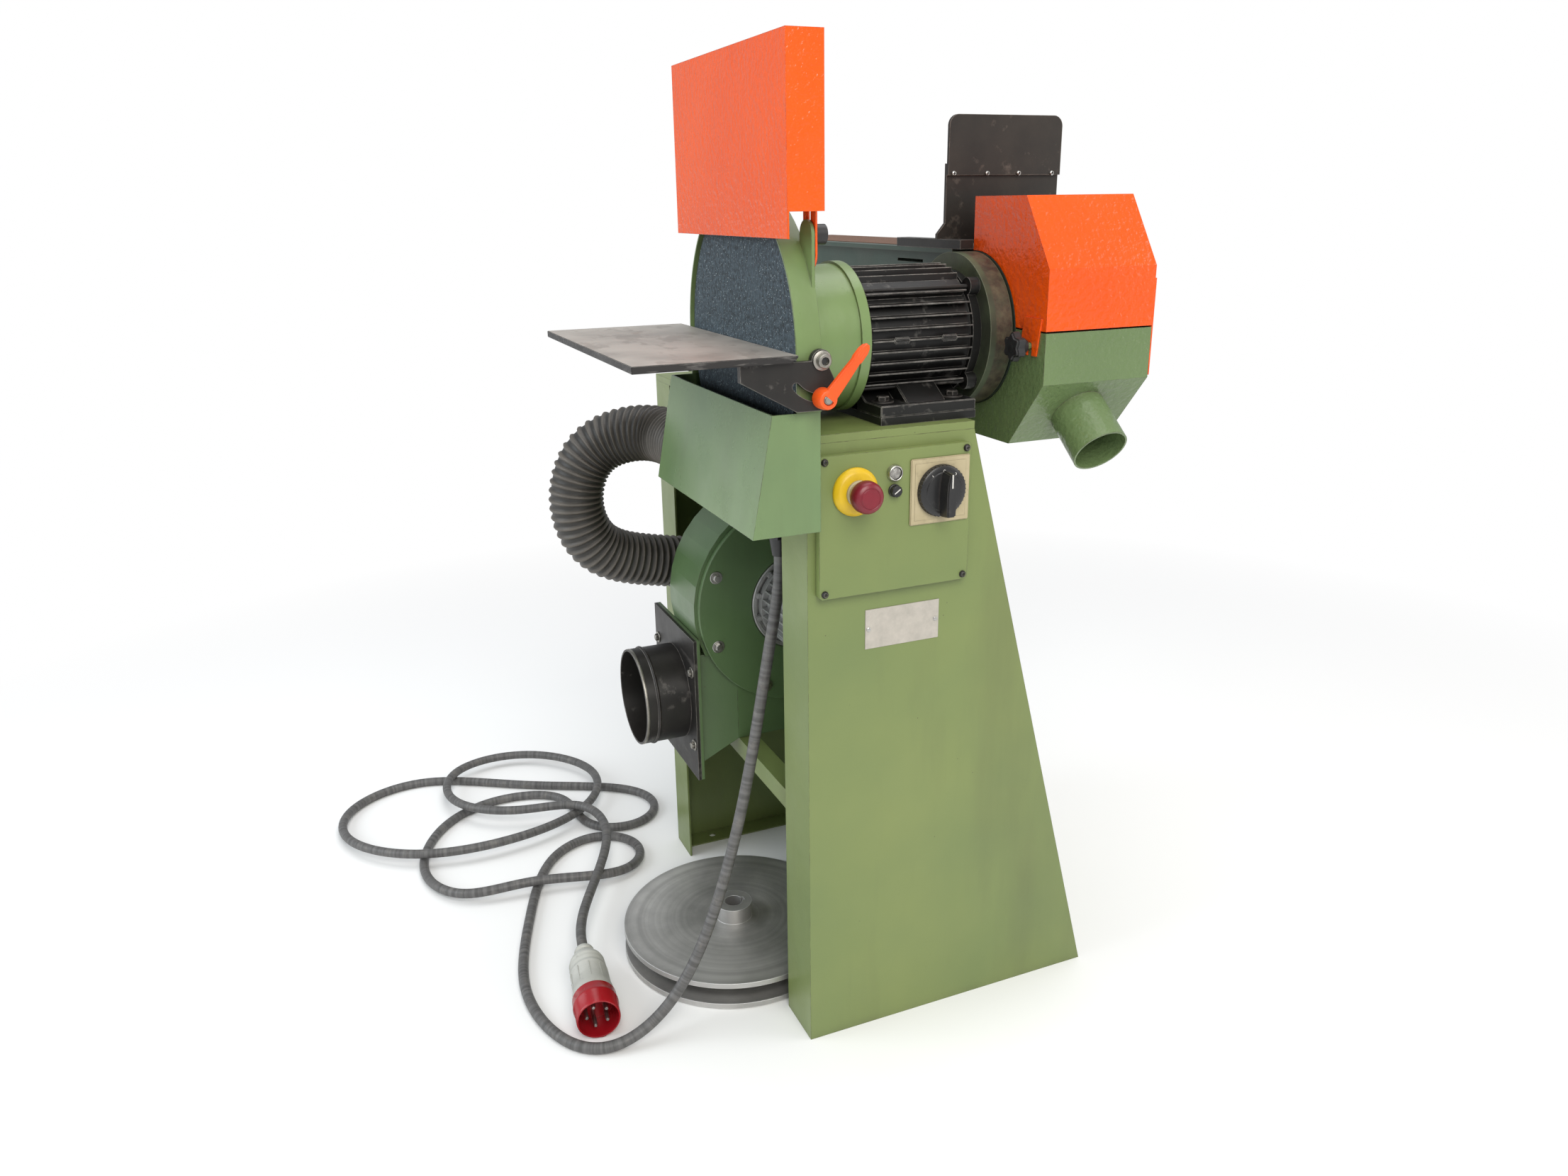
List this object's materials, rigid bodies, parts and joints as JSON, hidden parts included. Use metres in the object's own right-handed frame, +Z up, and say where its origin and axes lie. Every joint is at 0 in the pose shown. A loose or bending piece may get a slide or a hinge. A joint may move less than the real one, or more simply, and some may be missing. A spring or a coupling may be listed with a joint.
{
  "type": "belt and disc sander",
  "caption": "Belt and disc sander on a sheet-steel stand with tilting table, sliding guard, swivelling belt arm, work stop and a dust blower with ribbed hose",
  "frame": {"origin": "middle of the stand's rectangular footprint, on the floor plane", "axes": "+X to the belt end along the motor shaft, +Y to the back, +Z up; the control panel faces -Y"},
  "size_m": [1.0535, 1.132, 1.295],
  "materials": {
    "green_paint": "semi-gloss paint, worn",
    "green_casting": "painted casting",
    "dark_green_casting": "painted casting",
    "orange_paint": "gloss paint",
    "black_steel": "satin paint",
    "machined_steel": "machined",
    "machined_iron": "machined",
    "bright_metal": "zinc plated",
    "aluminium": "cast",
    "abrasive": "abrasive grain on cloth",
    "hose_plastic": "ribbed",
    "wheel_rubber": "matt",
    "cord_rubber": "matt",
    "black_plastic": "moulded",
    "grey_plastic": "moulded",
    "beige_plastic": "moulded",
    "yellow_plastic": "moulded",
    "red_plastic": "moulded"
  },
  "bodies": {
    "base": {"stand": "green_paint", "top_plate": "green_paint", "blower_rails": "black_steel", "control_box": "green_paint", "control_lid": "green_paint", "stop_button_base": "yellow_plastic", "pilot_lamp": "bright_metal", "fuse_cap": "black_plastic", "switch_plate": "beige_plastic", "motor_base": "green_paint", "motor_frame": "green_casting", "motor_shields": "green_casting", "terminal_box": "green_casting", "foot_bolts": "bright_metal", "drum": "green_casting", "disc_housing": "green_paint", "guard_knobs": "black_plastic", "pivot_bolts": "bright_metal", "chute": "green_paint", "dust_hose": "hose_plastic", "swivel_ring": "green_casting", "blower_casing": "dark_green_casting", "blower_cover": "dark_green_casting", "blower_motor": "aluminium", "inlet_elbow": "black_steel", "outlet_duct": "dark_green_casting", "outlet_spigot": "black_steel", "spare_disc_low": "machined_steel", "spare_disc_high": "machined_steel", "cord_gland": "black_plastic", "power_cord": "cord_rubber", "plug_body": "grey_plastic", "plug_collar": "red_plastic"},
    "rotor": {"rotor_shaft": "bright_metal", "disc_plate": "machined_steel", "abrasive_disc": "abrasive", "contact_wheel": "wheel_rubber"},
    "fan": {"impeller": "aluminium"},
    "guard": {"guard": "orange_paint"},
    "table": {"table": "machined_iron", "trunnions": "machined_iron"},
    "front_lever": {"clamp_lever": "orange_paint"},
    "rear_lever": {"rear_clamp_lever": "orange_paint"},
    "stop_head": {"stop_button": "red_plastic"},
    "switch": {"switch_knob": "black_plastic"},
    "arm": {"arm_hub": "machined_iron", "arm_frame": "green_paint", "platen": "machined_steel", "sanding_belt": "abrasive", "tension_spring": "bright_metal", "tension_lever": "black_plastic", "lower_hood": "green_paint"},
    "slide": {"idler_slide": "machined_steel", "tracking_knob": "black_plastic"},
    "idler": {"idler_wheel": "aluminium"},
    "hood": {"upper_hood": "orange_paint"},
    "star_knob": {"hood_knob": "black_plastic"},
    "stop": {"stop_bar": "machined_steel", "work_stop": "machined_steel"}
  },
  "joints": [
    {"name": "rotor_spin", "type": "hinge", "parent": "base", "child": "rotor", "pos_m": [0, -0.18, 0.965], "axis": [1, 0, 0], "continuous": true},
    {"name": "fan_spin", "type": "hinge", "parent": "base", "child": "fan", "pos_m": [-0.115, 0, 0.552], "axis": [0, 1, 0], "continuous": true},
    {"name": "guard_slide", "type": "slide", "parent": "base", "child": "guard", "axis": [0, 0, 1], "range_m": [-0.115, 0]},
    {"name": "table_tilt", "type": "hinge", "parent": "base", "child": "table", "pos_m": [-0.242, -0.18, 0.963], "axis": [0, -1, 0], "range_deg": [0, 45]},
    {"name": "front_lever_turn", "type": "hinge", "parent": "base", "child": "front_lever", "pos_m": [-0.242, -0.385, 0.922], "axis": [0, 1, 0], "range_deg": [-30, 60]},
    {"name": "rear_lever_turn", "type": "hinge", "parent": "base", "child": "rear_lever", "pos_m": [-0.242, 0.025, 0.922], "axis": [0, 1, 0], "range_deg": [-30, 60]},
    {"name": "stop_push", "type": "slide", "parent": "base", "child": "stop_head", "axis": [0, 1, 0], "range_m": [0, 0.0035], "stiffness_N_per_m": 800},
    {"name": "switch_turn", "type": "hinge", "parent": "base", "child": "switch", "pos_m": [-0.054, -0.32, 0.785], "axis": [0, 1, 0], "range_deg": [-60, 60]},
    {"name": "arm_swivel", "type": "hinge", "parent": "base", "child": "arm", "pos_m": [0.07, -0.18, 0.965], "axis": [1, 0, 0], "range_deg": [0, 90]},
    {"name": "tension_slide", "type": "slide", "parent": "arm", "child": "slide", "axis": [0, 1, 0], "range_m": [-0.018, 0], "deforming": ["tension_spring"]},
    {"name": "idler_spin", "type": "hinge", "parent": "slide", "child": "idler", "pos_m": [0.15, 0.58499, 1.02], "axis": [1, 0, 0], "continuous": true},
    {"name": "hood_lift", "type": "slide", "parent": "arm", "child": "hood", "axis": [0, 0, 1], "range_m": [0, 0.15]},
    {"name": "star_knob_turn", "type": "hinge", "parent": "arm", "child": "star_knob", "pos_m": [0.05, -0.314, 0.955], "axis": [1, 0, 0], "range_deg": [-180, 180]},
    {"name": "stop_slide", "type": "slide", "parent": "arm", "child": "stop", "axis": [0, 1, 0], "range_m": [0, 0.3]}
  ],
  "couplings": [
    {"joint": "idler_spin", "follows": "rotor_spin", "ratio": 2.2222}
  ]
}
